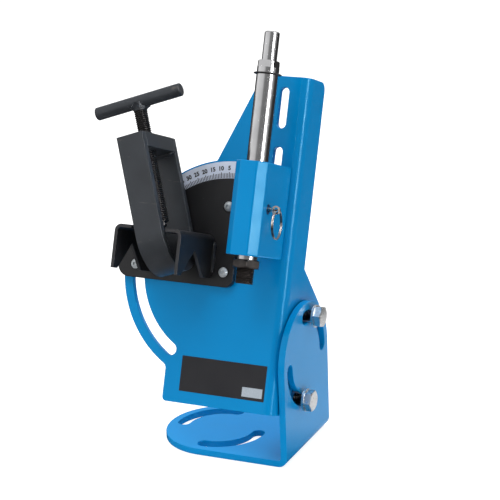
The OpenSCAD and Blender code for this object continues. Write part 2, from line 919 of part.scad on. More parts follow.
// Threaded bar that closes the yoke, between the strap's legs
module yoke_bar() {
  color([0.25, 0.26, 0.28])
  on_clamp()
    difference() {
      translate([-yoke_w / 2, -yoke_inner_r, yoke_leg_top])
        cube([yoke_w, 2 * yoke_inner_r, yoke_bar_t]);
      translate([0, 0, yoke_leg_top - eps])
        cylinder(d = screw_d + 2 * run_gap, h = yoke_bar_t + 2 * eps);
    }
}

// Weld beads under the bar, inside both legs
module yoke_welds() {
  bead = 3;
  color([0.20, 0.21, 0.22])
  on_clamp()
    for (side = [0, 1])
      mirror([0, side, 0])
        translate([-yoke_w / 2 + 1, yoke_inner_r, yoke_leg_top])
          rotate([0, 90, 0])
            intersection() {
              cylinder(r = bead, h = yoke_w - 2);
              translate([0, -bead, 0])
                cube([bead, bead, yoke_w - 2]);
            }
}

// ---- Bearing block that slides in the frame's slots ---------------------------------------

// Chamfered block that guides the spindle
module bearing_block() {
  half = block_w / 2;
  front = saw_v - block_nose;
  back = -frame_front - block_gap;
  color([0.03, 0.50, 0.82])
  on_frame()
    difference() {
      translate([-spindle_u, 0, block_bottom])
        linear_extrude(block_h)
          polygon([[-half, back], [-half, front + block_chamfer], [block_chamfer - half, front],
            [half - block_chamfer, front], [half, front + block_chamfer], [half, back]]);
      translate([-spindle_u, saw_v, block_bottom - eps])
        cylinder(r = bore_r, h = block_h + 2 * eps);
      for (at_w = [block_bottom - eps, block_top - bushing_len])
        translate([-spindle_u, saw_v, at_w])
          cylinder(d = bushing_d, h = bushing_len + eps);
      for (at_w = block_bolt_ws)
        translate([-spindle_u, 0, at_w])
          rod_y(back - block_tap_len - 2, block_tap_len + 2 + eps, block_bolt_d);
      translate([0, lock_v, lock_w])
        rod_x(-spindle_u, block_w, bush_d);
    }
}

// Bronze bushing, pressed into one end of the block
module bushing(from_w) {
  color([0.72, 0.55, 0.28])
  on_frame()
    translate([-spindle_u, saw_v, from_w])
      washer(bushing_d, spindle_d + 2 * run_gap, bushing_len);
}

// Bushing in the block's top
module upper_bushing() {
  bushing(block_top - bushing_len);
}

// Bushing in the block's underside
module lower_bushing() {
  bushing(block_bottom);
}

// Two bolts from behind, through the frame's upright slots into the block
module block_bolts() {
  head_v = plate_back_v + block_gap + washer_t;
  color([0.78, 0.78, 0.78])
  on_frame()
    for (at_w = block_bolt_ws)
      translate([-spindle_u, head_v, at_w])
        rotate([-90, 0, 0]) {
          hex_prism(1.625 * block_bolt_d, head_ratio * block_bolt_d);
          translate([0, 0, -washer_t - frame_t - block_tap_len])
            cylinder(d = block_bolt_d, h = washer_t + frame_t + block_tap_len);
        }
}

// Washers under the block bolts' heads
module block_washers() {
  color([0.80, 0.80, 0.80])
  on_frame()
    for (at_w = block_bolt_ws)
      translate([-spindle_u, plate_back_v + block_gap, at_w])
        rotate([-90, 0, 0])
          washer(2.1 * block_bolt_d, block_bolt_d, washer_t);
}

// Dark guide bush of the lock pin, in the block's right face
module lock_bush() {
  color([0.05, 0.05, 0.05])
  on_frame()
    translate([face_u - bush_len, lock_v, lock_w])
      rotate([0, 90, 0])
        washer(bush_d, lock_d + 2 * run_gap, bush_len - 0.4);
}

// ---- Lock pin and its pull ring -----------------------------------------------------------

// Pin with a flat eye outside the block
module lock_pin() {
  tip_u = face_u - bush_len - 0.2;
  color([0.72, 0.70, 0.66])
  on_frame()
    translate([0, lock_v, lock_w])
      difference() {
        union() {
          rod_x(tip_u, eye_u - tip_u, lock_d - 1.2);
          rod_x(tip_u, face_u + 1.5 - tip_u, lock_d);
          translate([eye_u, 0, 0])
            rod_y(-eye_t / 2, eye_t, eye_d);
        }
        translate([eye_u, 0, 0])
          rod_y(-eye_t, 2 * eye_t, eye_hole_d);
      }
}

// Ring that hangs straight down from the pin's eye
module pull_ring() {
  color([0.75, 0.73, 0.70])
  on_frame()
    translate([eye_u, lock_v, lock_w])
      rotate([tilt, 0, 0])
        translate([0, 0, -ring_r - eye_play])
          rotate([0, 90, 0])
            rotate_extrude()
              translate([ring_r, 0])
                circle(d = ring_wire);
}

// ---- Spindle ------------------------------------------------------------------------------

// Puts a turned part on the spindle's axis, at the given height
module on_spindle(at_w) {
  on_frame()
    translate([-spindle_u, saw_v, at_w])
      children();
}

// Snap ring that stops the feed on the block's top
module stop_ring() {
  color([0.05, 0.05, 0.05])
  on_spindle(stop_w)
    rotate_extrude()
      intersection() {
        translate([spindle_d / 2 + ring_reach - ring_aspect * ring_minor, 0])
          scale([ring_aspect, 1.0])
            circle(ring_minor);
        translate([spindle_d / 2 + run_gap, -2 * ring_minor])
          square([2 * ring_reach, 4 * ring_minor]);
      }
}

// Ground shaft with its drill shank and wrench flats
module spindle() {
  chamfer = 1;
  flat_h = 6;
  flat_turn = -4;
  color([0.75, 0.75, 0.76])
  on_spindle(hex_top) {
    length = shoulder_w - hex_top;
    difference() {
      union() {
        cylinder(d = spindle_d, h = length - chamfer);
        translate([0, 0, length - chamfer])
          cylinder(d1 = spindle_d, d2 = spindle_d - 2 * chamfer, h = chamfer);
      }
      for (side = [0:3])
        rotate(90 * side + flat_turn)
          translate([wrench_af / 2, -spindle_d, length - flat_h])
            cube([spindle_d, 2 * spindle_d, flat_h + eps]);
    }
    translate([0, 0, length])
      cylinder(d = shank_d, h = shank_len - chamfer);
    translate([0, 0, length + shank_len - chamfer])
      cylinder(d1 = shank_d, d2 = shank_d - 2 * chamfer, h = chamfer);
  }
}

// Hex collar that the hole saw seats against
module hex_collar() {
  color([0.10, 0.09, 0.09])
  on_spindle(hex_top - hex_h)
    rotate(-7)
      hex_prism(hex_af, hex_h);
}

// Threaded nose for the hole saw
module saw_thread() {
  chamfer = 1;
  color([0.07, 0.06, 0.06])
  on_spindle(hex_top - hex_h - thread_len) {
    cylinder(d1 = thread_d - 2 * chamfer, d2 = thread_d, h = chamfer);
    translate([0, 0, chamfer])
      cylinder(d = thread_d, h = thread_len - chamfer);
  }
}

mounting_bracket();
main_frame();
tilt_bolts();
tilt_washers();
tilt_liners();
tilt_nuts();
degree_scale();
blank_label();
blank_sticker();
clamp_carrier();
clamp_jaw();
jaw_welds();
pivot_sleeve();
slot_guides();
carrier_screws();
carrier_washers();
carrier_back_washers();
carrier_nuts();
screw_nose();
clamp_screw();
tee_handle();
tee_weld();
yoke_strap();
yoke_bar();
yoke_welds();
bearing_block();
upper_bushing();
lower_bushing();
block_bolts();
block_washers();
lock_bush();
lock_pin();
pull_ring();
stop_ring();
spindle();
hex_collar();
saw_thread();
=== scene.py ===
import bpy
import bmesh
import json
import math
import numpy as np
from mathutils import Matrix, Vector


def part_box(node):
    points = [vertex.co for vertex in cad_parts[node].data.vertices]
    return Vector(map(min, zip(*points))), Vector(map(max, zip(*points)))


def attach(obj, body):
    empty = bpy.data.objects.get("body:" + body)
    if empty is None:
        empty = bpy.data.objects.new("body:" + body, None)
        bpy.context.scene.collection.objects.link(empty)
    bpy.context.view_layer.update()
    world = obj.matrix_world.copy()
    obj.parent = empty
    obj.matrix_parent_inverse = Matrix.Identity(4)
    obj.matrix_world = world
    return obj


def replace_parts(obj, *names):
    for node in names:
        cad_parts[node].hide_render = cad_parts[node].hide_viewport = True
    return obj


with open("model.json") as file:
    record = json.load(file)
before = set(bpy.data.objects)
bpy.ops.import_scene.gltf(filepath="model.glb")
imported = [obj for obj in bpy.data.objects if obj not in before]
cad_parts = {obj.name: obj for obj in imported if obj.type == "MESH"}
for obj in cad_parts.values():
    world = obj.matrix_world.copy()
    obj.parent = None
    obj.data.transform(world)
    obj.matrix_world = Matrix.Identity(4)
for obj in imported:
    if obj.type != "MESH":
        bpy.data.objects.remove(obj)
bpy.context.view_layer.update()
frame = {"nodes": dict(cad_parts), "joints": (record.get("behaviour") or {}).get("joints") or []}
joints = {joint["name"]: joint for joint in frame["joints"]}

# ---- Studio ------------------------------------------------------------------------------------
# A white table in a pale studio. Soft panels stand at the left and the right, one hangs in front
# overhead and one high behind, and the viewer's own side is dark. None of it is part of the notcher.

# The camera's direction and roll in degrees, its distance and target in metres, the focal length
# as a share of the sensor's width, and how far it aims beside and above the target, as slopes
VIEW_AZIMUTH, VIEW_ELEVATION, VIEW_ROLL = 24.42, 18.55, -2.03
VIEW_DISTANCE = 1.7275
VIEW_TARGET = np.array([0.03994, 0.0, 0.18258])
FOCAL_SHARE = 3.9576
SENSOR_WIDTH = 36.0
AIM_OFFSET = np.array([0.00243582, 0.00121286])


def look_axes(azimuth, elevation, roll):
    """Right, up and back directions of a camera: back points from the target to the camera, right
    is level, up is their cross product, and both turn about back by the roll."""
    a, e, t = (math.radians(x) for x in (azimuth, elevation, roll))
    back = np.array([math.sin(a) * math.cos(e), -math.cos(a) * math.cos(e), math.sin(e)])
    right = np.array([math.cos(a), math.sin(a), 0.0])
    up = np.cross(back, right)
    return (
        math.cos(t) * right + math.sin(t) * up,
        math.cos(t) * up - math.sin(t) * right,
        back,
    )


right, up, back = look_axes(VIEW_AZIMUTH, VIEW_ELEVATION, VIEW_ROLL)
camera_place = VIEW_TARGET + VIEW_DISTANCE * back
back = back + AIM_OFFSET[0] * right + AIM_OFFSET[1] * up
back /= np.linalg.norm(back)
right -= right.dot(back) * back
right /= np.linalg.norm(right)
up = np.cross(back, right)
camera_matrix = np.eye(4)
camera_matrix[:3, :3] = np.column_stack([right, up, back])
camera_matrix[:3, 3] = camera_place
camera_data = bpy.data.cameras.new("camera")
camera_data.sensor_width = SENSOR_WIDTH
camera_data.lens = SENSOR_WIDTH * FOCAL_SHARE
camera_data.clip_start, camera_data.clip_end = 0.05, 60.0
camera = bpy.data.objects.new("camera", camera_data)
camera.matrix_world = camera_matrix.T.tolist()
bpy.context.scene.collection.objects.link(camera)
bpy.context.scene.camera = camera
bpy.context.scene.view_settings.view_transform = "Standard"


def soft_panel(name, azimuth, elevation, distance, size, power, colour):
    """An area lamp at a distance from the target, turned to face it. Polished metal mirrors the
    studio's own colours instead of it."""
    data = bpy.data.lights.new(name, "AREA")
    data.shape = "RECTANGLE"
    data.size, data.size_y = size
    data.energy = power
    data.color = colour
    lamp = bpy.data.objects.new(name, data)
    side, top, away = look_axes(azimuth, elevation, 0.0)
    matrix = np.eye(4)
    matrix[:3, :3] = np.column_stack([side, top, away])
    matrix[:3, 3] = VIEW_TARGET + distance * away
    lamp.matrix_world = matrix.T.tolist()
    lamp.visible_glossy = False
    bpy.context.scene.collection.objects.link(lamp)


soft_panel("right_panel", 56, 24, 1.5, (0.8, 1.5), 3.1, (1.0, 0.99, 0.98))
soft_panel("left_panel", -48, 26, 1.5, (0.9, 1.4), 3.4, (0.98, 0.99, 1.0))
soft_panel("top_panel", -14, 66, 1.4, (0.9, 0.8), 10.5, (1.0, 1.0, 1.0))
soft_panel("back_panel", 182, 52, 1.6, (1.1, 0.9), 36.0, (1.0, 1.0, 1.0))


def add_node(tree, kind, inputs=None, **settings):
    """One shader node. inputs maps a socket's name or number to a constant or to an output."""
    made = tree.nodes.new(kind)
    for key, value in settings.items():
        setattr(made, key, value)
    for key, value in (inputs or {}).items():
        socket = made.inputs[key]
        if isinstance(value, bpy.types.NodeSocket):
            tree.links.new(value, socket)
        else:
            socket.default_value = value
    return made


def new_material(name):
    """A node material, its tree, its Principled shader, and a point's place on the object."""
    material = bpy.data.materials.new(name)
    material.use_nodes = True
    tree = material.node_tree
    place = add_node(tree, "ShaderNodeTexCoord").outputs["Object"]
    return material, tree, tree.nodes["Principled BSDF"], place


def ramp(tree, factor, stops):
    """A colour ramp over factor; stops are (place, colour or grey)."""
    made = add_node(tree, "ShaderNodeValToRGB", {"Fac": factor})
    elements = made.color_ramp.elements
    while len(elements) < len(stops):
        elements.new(0.5)
    for element, (place, colour) in zip(elements, stops):
        element.position = place
        element.color = (*colour, 1.0) if isinstance(colour, tuple) else (colour,) * 3 + (1.0,)
    return made.outputs["Color"]


def mix(tree, factor, first, second, blend_type="MIX"):
    """Two colours mixed, multiplied or added."""
    made = add_node(
        tree, "ShaderNodeMix", {0: factor, 6: first, 7: second}, data_type="RGBA",
        blend_type=blend_type,
    )
    return made.outputs[2]


def calculate(tree, operation, first, second):
    """One sum on two numbers."""
    return add_node(tree, "ShaderNodeMath", {0: first, 1: second}, operation=operation).outputs[0]


def ray_kinds(tree):
    """1 for a ray from the camera, and 1 for a ray mirrored by or passed through a surface."""
    path = add_node(tree, "ShaderNodeLightPath").outputs
    mirrored = calculate(tree, "MAXIMUM", path["Is Glossy Ray"], path["Is Transmission Ray"])
    return path["Is Camera Ray"], mirrored


# Grey that polished metal sees round the studio, by direction in degrees from the front, with right
# as plus, and the one narrow panel there that is many times brighter than white
ROUND_THE_STUDIO = (
    (-180, 0.50), (-130, 0.42), (-112, 0.14), (-100, 0.30), (-92, 1.0), (-74, 1.0),
    (-58, 0.90), (-22, 0.78), (-8, 0.60), (0, 0.26), (34, 0.24), (48, 0.20), (56, 0.5), (60, 1.0),
    (76, 1.0), (92, 0.62), (100, 0.26), (112, 0.15), (128, 0.15), (146, 0.36), (180, 0.50),
)
BRIGHT_PANEL = ((-180, 0.0), (61, 0.0), (65, 1.0), (71, 1.0), (75, 0.0))
GLARE = (19.0, 19.0, 19.0, 1.0)
OVERHEAD_GREY = (0.75, 0.75, 0.75, 1.0)
DIFFUSE_SKY = (0.40, 0.40, 0.41, 1.0)
WHITE = (1.0, 1.0, 1.0, 1.0)

world = bpy.data.worlds.new("studio")
bpy.context.scene.world = world
world.use_nodes = True
world.cycles.sampling_method = "NONE"
tree = world.node_tree
sky = tree.nodes["Background"]
direction = add_node(tree, "ShaderNodeTexCoord").outputs["Generated"]
parts = add_node(tree, "ShaderNodeSeparateXYZ", {0: direction}).outputs
forward = calculate(tree, "MULTIPLY", parts["Y"], -1.0)
turn = calculate(tree, "ARCTAN2", parts["X"], forward)
share = add_node(
    tree, "ShaderNodeMapRange", {0: turn, 1: -math.pi, 2: math.pi, 3: 0.0, 4: 1.0}
).outputs[0]
panels = ramp(tree, share, [((degrees + 180) / 360, grey) for degrees, grey in ROUND_THE_STUDIO])
bright = ramp(tree, share, [((degrees + 180) / 360, grey) for degrees, grey in BRIGHT_PANEL])
low_edge = ramp(tree, parts["Z"], [(0.07, 0.12), (0.20, 1.0)])
overhead = ramp(tree, parts["Z"], [(0.62, 0.0), (0.80, 1.0)])
glare = mix(tree, 1.0, mix(tree, 1.0, bright, low_edge, "MULTIPLY"), GLARE, "MULTIPLY")
seen = mix(tree, 1.0, mix(tree, overhead, panels, OVERHEAD_GREY), glare, "ADD")
from_camera, mirrored = ray_kinds(tree)
shown = mix(tree, from_camera, mix(tree, mirrored, DIFFUSE_SKY, seen), WHITE)
tree.links.new(shown, sky.inputs["Color"])
sky.inputs["Strength"].default_value = 1.0

TABLE_REACH, TABLE_TOP = 9.0, -0.0004
table_mesh = bpy.data.meshes.new("table")
corners = TABLE_REACH * np.array([(-1, -1, 0), (1, -1, 0), (1, 1, 0), (-1, 1, 0)])
table_mesh.from_pydata(corners.tolist(), [], [(0, 1, 2, 3)])
table = bpy.data.objects.new("table", table_mesh)
table.location.z = TABLE_TOP
bpy.context.scene.collection.objects.link(table)

# The camera sees a glowing white top that still takes a shadow. Gloss sees a glowing pale patch
# behind the bracket, painted light for reflections that fades out within a few centimetres and
# stays dark next to the foot as painted shadow. The rest sees white paper plus a glow that lights
# the object from below, painted light that is weaker right under the object as painted shadow
# and fades further out.
PALE_PATCH = (0.17, 0.18, 0.0)
white_table, tree, shader, place = new_material("white_table")
output = tree.nodes["Material Output"]
tree.nodes.remove(shader)
glow = add_node(tree, "ShaderNodeEmission", {"Color": WHITE, "Strength": 0.88}).outputs[0]
half_lit = add_node(tree, "ShaderNodeBsdfDiffuse", {"Color": (0.33, 0.33, 0.33, 1)}).outputs[0]
camera_white = add_node(tree, "ShaderNodeAddShader", {0: glow, 1: half_lit}).outputs[0]
reached = add_node(tree, "ShaderNodeVectorMath", {0: place, 1: PALE_PATCH}, operation="DISTANCE")
# Painted reflection: gloss sees a glow near the pale patch. It is dark elsewhere, and dark by the foot
# as painted shadow.
fading = ramp(tree, reached.outputs["Value"], [(0.150, 0.82), (0.215, 0.04)])
mirror_glow = add_node(tree, "ShaderNodeEmission", {"Color": fading, "Strength": 1.0}).outputs[0]
middle = add_node(tree, "ShaderNodeVectorMath", {0: place}, operation="LENGTH").outputs["Value"]
# Painted light and shadow: a glow for the other rays, weaker within twelve centimetres of the middle
# as painted shadow under the object.
spread = ramp(tree, middle, [(0.12, 0.55), (0.20, 0.80), (0.37, 0.80), (0.50, 0.20)])
soft_glow = add_node(tree, "ShaderNodeEmission", {"Color": spread, "Strength": 0.50}).outputs[0]
paper = add_node(tree, "ShaderNodeBsdfDiffuse", {"Color": (0.85, 0.85, 0.85, 1)}).outputs[0]
lit_white = add_node(tree, "ShaderNodeAddShader", {0: paper, 1: soft_glow}).outputs[0]
from_camera, mirrored = ray_kinds(tree)
unseen = add_node(tree, "ShaderNodeMixShader", {0: mirrored, 1: lit_white, 2: mirror_glow})
seen = add_node(
    tree, "ShaderNodeMixShader", {0: from_camera, 1: unseen.outputs[0], 2: camera_white}
)
tree.links.new(seen.outputs[0], output.inputs["Surface"])
table_mesh.materials.append(white_table)

# ---- Mounting bracket --------------------------------------------------------------------------
# Six millimetre steel plate, laser cut with four curved slots and folded to an L. It is powder
# coated light blue, so its cut edges are softly rounded and its faces have a faint orange peel.

SOFT_EDGE = 0.00055
SHARP_FROM = math.radians(34)


def softened(node, body, materials, edge_radius=SOFT_EDGE, choose=None):
    """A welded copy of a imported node. Every edge sharper than 34 degrees is rolled over by a bevel
    of edge_radius, and normals are weighted by face area so that flats stay flat. choose maps
    face centres and normals to material numbers."""
    source = frame["nodes"][node].data
    merged = bmesh.new()
    merged.from_mesh(source)
    bmesh.ops.remove_doubles(merged, verts=merged.verts, dist=0.00012)
    bmesh.ops.dissolve_limit(
        merged, angle_limit=math.radians(0.4), verts=merged.verts, edges=merged.edges
    )
    merged.verts.index_update()
    points = [vertex.co[:] for vertex in merged.verts]
    faces = [[vertex.index for vertex in face.verts] for face in merged.faces]
    merged.free()
    mesh = bpy.data.meshes.new(node + "_finished")
    mesh.from_pydata(points, [], faces)
    for material in materials:
        mesh.materials.append(material)
    mesh.polygons.foreach_set("use_smooth", np.ones(len(mesh.polygons), bool))
    if choose:
        centres = np.empty(len(mesh.polygons) * 3)
        normals = np.empty(len(mesh.polygons) * 3)
        mesh.polygons.foreach_get("center", centres)
        mesh.polygons.foreach_get("normal", normals)
        numbers = choose(centres.reshape(-1, 3), normals.reshape(-1, 3))
        mesh.polygons.foreach_set("material_index", numbers.astype(np.int32))
    piece = bpy.data.objects.new(node + "_finished", mesh)
    bpy.context.scene.collection.objects.link(piece)
    rolled = piece.modifiers.new("rolled_edges", "BEVEL")
    rolled.width = edge_radius
    rolled.segments = 2
    rolled.limit_method = "ANGLE"
    rolled.angle_limit = SHARP_FROM
    rolled.use_clamp_overlap = False
    weighted = piece.modifiers.new("flat_faces", "WEIGHTED_NORMAL")
    weighted.mode = "FACE_AREA"
    weighted.weight = 50
    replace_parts(piece, node)
    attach(piece, body)
    return piece


def noise(tree, place, scale, detail):
    """Smooth noise between 0 and 1, with about scale cells to the metre."""
    made = add_node(
        tree, "ShaderNodeTexNoise", {"Vector": place, "Scale": scale, "Detail": detail}
    )
    return made.outputs["Fac"]


def wander(tree, share, low, high):
    """A number that goes from low to high over the middle of a noise's range."""
    made = add_node(tree, "ShaderNodeMapRange", {0: share, 1: 0.3, 2: 0.7, 3: low, 4: high})
    return made.outputs[0]


def raise_up(tree, shader, height, strength, depth=0.0001):
    """A relief of the given depth in metres, as bump."""
    bump = add_node(
        tree, "ShaderNodeBump", {"Strength": strength, "Distance": depth, "Height": height}
    )
    tree.links.new(bump.outputs[0], shader.inputs["Normal"])


def powder_coat(name, colour, deep_colour, rough):
    """Powder coat: a slow drift between two near colours, orange peel about a millimetre across as
    bump, and roughness that wanders a little with it."""
    material, tree, shader, place = new_material(name)
    drift = ramp(tree, noise(tree, place, 14.0, 3.0), [(0.30, deep_colour), (0.70, colour)])
    polish = wander(tree, noise(tree, place, 60.0, 4.0), rough - 0.05, rough + 0.05)
    tree.links.new(drift, shader.inputs["Base Color"])
    tree.links.new(polish, shader.inputs["Roughness"])
    raise_up(tree, shader, noise(tree, place, 620.0, 2.0), 0.20, 0.00012)
    shader.inputs["Specular IOR Level"].default_value = 0.42
    shader.inputs["Specular Tint"].default_value = (0.38, 0.74, 0.80, 1.0)
    return material


blue_coat = powder_coat("blue_coat", (0.000, 0.220, 0.520), (0.000, 0.206, 0.492), 0.21)
softened("mounting_bracket", "bracket", [blue_coat])

# ---- Frame plate -------------------------------------------------------------------------------
# The same plate and coat, folded once along its right side. Three slots take the bearing block,
# the long curved slot guides the clamp, and the rounded flange tilts between the bracket's bolts.

softened("main_frame", "frame", [blue_coat])

# ---- Tilt bolts --------------------------------------------------------------------------------
# Two zinc plated M10 bolts, slackened off, with flat washers outside and nuts inside the flange.
# Their shanks are threaded to the head and painted near black as painted shade, for the shadow
# between head and plate; thin nylon liners keep plate and bracket apart, painted dark blue as
# painted shade of the flange seen through the slots.

TILT_AXIS = np.array(joints["frame_tilt"]["pos_m"])
PLATE_UP = np.array(joints["block_height"]["axis"], float)
PLATE_BACK = -np.array(joints["clamp_swing"]["axis"], float)
PLATE_AXES = np.array([[1.0, 0.0, 0.0], PLATE_BACK, PLATE_UP])


def in_axes(node, origin, axes):
    """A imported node's vertices as lengths along the three axes from the origin, in metres."""
    source = frame["nodes"][node].data
    points = np.empty(len(source.vertices) * 3)
    source.vertices.foreach_get("co", points)
    return (points.reshape(-1, 3) - origin) @ axes.T


def grid_piece(name, grid, material, body, replaced=(), closed=(False, False), caps=False):
    """A surface from a grid of points, rows by columns. Each cell is one quad; closed joins the
    last row or column to the first, and caps close the first and last rows with one face each."""
    rows, columns = grid.shape[:2]
    numbers = np.arange(rows * columns).reshape(rows, columns)
    if closed[0]:
        numbers = np.vstack([numbers, numbers[:1]])
    if closed[1]:
        numbers = np.hstack([numbers, numbers[:, :1]])
    quads = np.stack(
        [numbers[:-1, :-1], numbers[:-1, 1:], numbers[1:, 1:], numbers[1:, :-1]], axis=-1
    ).reshape(-1, 4)
    faces = quads.tolist()
    if caps:
        faces += [numbers[0, :columns][::-1].tolist(), numbers[rows - 1, :columns].tolist()]
    mesh = bpy.data.meshes.new(name)
    mesh.from_pydata(grid.reshape(-1, 3).tolist(), [], faces)
    mesh.materials.append(material)
    smooth = np.ones(len(faces), bool)
    if caps:
        smooth[-2:] = False
    mesh.polygons.foreach_set("use_smooth", smooth)
    piece = bpy.data.objects.new(name, mesh)
    bpy.context.scene.collection.objects.link(piece)
    if replaced:
        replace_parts(piece, *replaced)
    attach(piece, body)
    return piece


def joined(pieces, name):
    """Several meshes made one object, which keeps the first one's parent and replaced nodes."""
    mesh = bmesh.new()
    for piece in pieces:
        mesh.from_mesh(piece.data)
    mesh.to_mesh(pieces[0].data)
    mesh.free()
    for piece in pieces[1:]:
        bpy.data.objects.remove(piece)
    pieces[0].name = name
    return pieces[0]


def round_axis(axis):
    """Two directions square to the axis and to each other, right-handed with it."""
    axis = np.array(axis, float) / np.linalg.norm(axis)
    helper = np.array([0.0, 0.0, 1.0]) if abs(axis[2]) < 0.9 else np.array([1.0, 0.0, 0.0])
    first = np.cross(helper, axis)
    first /= np.linalg.norm(first)
    return first, np.cross(axis, first), axis


def turned_grid(origin, axis, radius, height, turns):
    """Points at the given radius and height about an axis, for every row and every angle in turns.
    radius and height are rows, or rows by angles where the shape isn't round."""
    first, second, axis = round_axis(axis)
    rows = len(radius)
    radius = np.broadcast_to(np.asarray(radius, float).reshape(rows, -1), (rows, len(turns)))
    height = np.broadcast_to(np.asarray(height, float).reshape(len(height), -1), radius.shape)
    return (
        np.asarray(origin)
        + radius[..., None] * (np.cos(turns)[:, None] * first + np.sin(turns)[:, None] * second)
        + height[..., None] * axis
    )


def thread_grid(origin, axis, radius, depth, pitch, start, end, around=40, steps=16, fade=1.0):
    """A screw thread: at height h and angle t the radius is the outer radius less the depth times
    a blunt V of (h / pitch - t / one turn). The V fades out within fade turns of both ends, where
    the rod has a small chamfer."""
    rows = int((end - start) / pitch * steps) + 2
    turns = np.linspace(0, 2 * math.pi, around, endpoint=False)
    height = np.linspace(start, end, rows)
    from_end = np.minimum(height - start, end - height)[:, None]
    phase = (height[:, None] / pitch - turns[None, :] / (2 * math.pi)) % 1.0
    groove = np.clip(1.25 * (1 - np.abs(2 * phase - 1)) - 0.12, 0, 1)
    cut = np.clip(from_end / (fade * pitch), 0, 1)
    chamfer = np.clip((0.6 * pitch - from_end) / (0.6 * pitch), 0, 1)
    surface = radius - depth * groove * cut - 0.8 * depth * chamfer ** 2
    return turned_grid(origin, axis, surface, height, turns)


def hexagon_grid(origin, axis, across, base, top, turn):
    """A hexagon head: at angle t the radius is half the width across flats divided by the cosine of
    the angle from the nearest flat's middle, cut by a 30 degree cone at the top corners. turn is the
    angle of one flat."""
    turns = np.linspace(0, 2 * math.pi, 120, endpoint=False)
    from_flat = (turns - turn + math.pi / 6) % (math.pi / 3) - math.pi / 6
    flat = 0.5 * across / np.cos(from_flat)
    cone = 0.5 * across * 0.985
    drop = np.maximum(flat - cone, 0) * math.tan(math.radians(30))
    rim = np.minimum(flat, cone)
    zero = np.zeros_like(turns)
    soft, step, crown = 0.00025, 0.0004, 0.00006
    radius = np.stack([zero, flat - soft, flat, flat, rim, rim - step, zero])
    height = np.stack([
        zero + base, zero + base, zero + base + soft, top - drop, zero + top, zero + top + crown,
        zero + top + crown,
    ])
    return turned_grid(origin, axis, radius, height, turns)


def plated_metal(
    name, colour, dark_colour, rough, grain=420.0, mottle=160.0, metal=1.0, dents=0.22
):
    """Plated steel: crystals of slightly different grey as a Voronoi pattern of mottle cells to the
    metre, a fine grain in the roughness, and shallow dents as bump."""
    material, tree, shader, place = new_material(name)
    crystals = add_node(tree, "ShaderNodeTexVoronoi", {"Vector": place, "Scale": mottle})
    cloud = noise(tree, place, mottle * 1.7, 4.0)
    mixed = calculate(tree, "MULTIPLY", crystals.outputs["Distance"], cloud)
    tint = ramp(tree, mixed, [(0.08, dark_colour), (0.42, colour)])
    polish = wander(tree, noise(tree, place, grain, 5.0), rough * 0.75, rough * 1.3)
    tree.links.new(tint, shader.inputs["Base Color"])
    tree.links.new(polish, shader.inputs["Roughness"])
    raise_up(tree, shader, cloud, dents)
    shader.inputs["Metallic"].default_value = metal
    return material


def dress(material, *nodes):
    """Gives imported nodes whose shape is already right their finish."""
    for name in nodes:
        mesh = frame["nodes"][name].data
        mesh.materials.clear()
        mesh.materials.append(material)


bright_zinc = plated_metal(
    "bright_zinc", (0.80, 0.81, 0.82), (0.70, 0.71, 0.72), 0.32, mottle=90.0, dents=0.012
)
# Painted shade: near-black steel for zinc parts seen only in shadow, which are the tilt bolts' shanks
# between head and plate and the washers under the carrier screws.
painted_shade_steel = plated_metal("painted_shade_steel", (0.050, 0.052, 0.056), (0.018, 0.018, 0.020), 0.34, dents=0.05)
# Painted shade: the nylon liners take a dark blue that stands in for the shaded flange in the slots.
shade_blue_nylon, tree, shader, place = new_material("shade_blue_nylon")
shaded_blue_tone = ramp(tree, noise(tree, place, 90.0, 3.0), [(0.3, (0.0, 0.10, 0.30)), (0.7, (0.0, 0.13, 0.36))])
tree.links.new(shaded_blue_tone, shader.inputs["Base Color"])
shader.inputs["Roughness"].default_value = 0.45
shader.inputs["Subsurface Weight"].default_value = 0.1
shader.inputs["Subsurface Scale"].default_value = 0.002

TILT_BOLT_ACROSS, TILT_HEAD_HEIGHT = 0.017, 0.0064
TILT_BOLT_RADIUS, TILT_BOLT_PITCH, TILT_THREAD_DEPTH = 0.005, 0.0015, 0.0007
HEAD_TURNS = {-1: 0.55, 1: 1.25}
bolt_points = in_axes("tilt_bolts", TILT_AXIS, PLATE_AXES)
heads, shanks = [], []
for side in (-1, 1):
    own = bolt_points[bolt_points[:, 2] * side > 0]
    low, high = own.min(0), own.max(0)
    centre = np.array([0.0, (low[1] + high[1]) / 2, (low[2] + high[2]) / 2])
    origin = TILT_AXIS + centre @ PLATE_AXES
    seat = high[0] - TILT_HEAD_HEIGHT
    heads.append(
        grid_piece(
            f"tilt_head_{side}",
            hexagon_grid(
                origin, (1, 0, 0), TILT_BOLT_ACROSS, seat, high[0] - 0.0001, HEAD_TURNS[side]
            ),
            bright_zinc, "frame", closed=(False, True),
        )
    )
    shanks.append(
        grid_piece(
            f"tilt_shank_{side}",
            thread_grid(
                origin, (1, 0, 0), TILT_BOLT_RADIUS, TILT_THREAD_DEPTH, TILT_BOLT_PITCH, low[0],
                seat + 0.001,
            ),
            painted_shade_steel, "frame", closed=(False, True), caps=True,
        )
    )
tilt_heads = joined(heads, "tilt_bolt_heads")
joined(shanks, "tilt_bolt_shanks")
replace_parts(tilt_heads, "tilt_bolts")
tilt_heads.data.set_sharp_from_angle(angle=math.radians(24))
dress(bright_zinc, "tilt_washers", "tilt_nuts")
dress(shade_blue_nylon, "tilt_liners")

# ---- Degree scale ------------------------------------------------------------------------------
# A curved strip of bare aluminium on the plate's face, printed in black: a line for every degree,
# a longer one and a number at every fifth, counting up to the left from above the swing pivot.

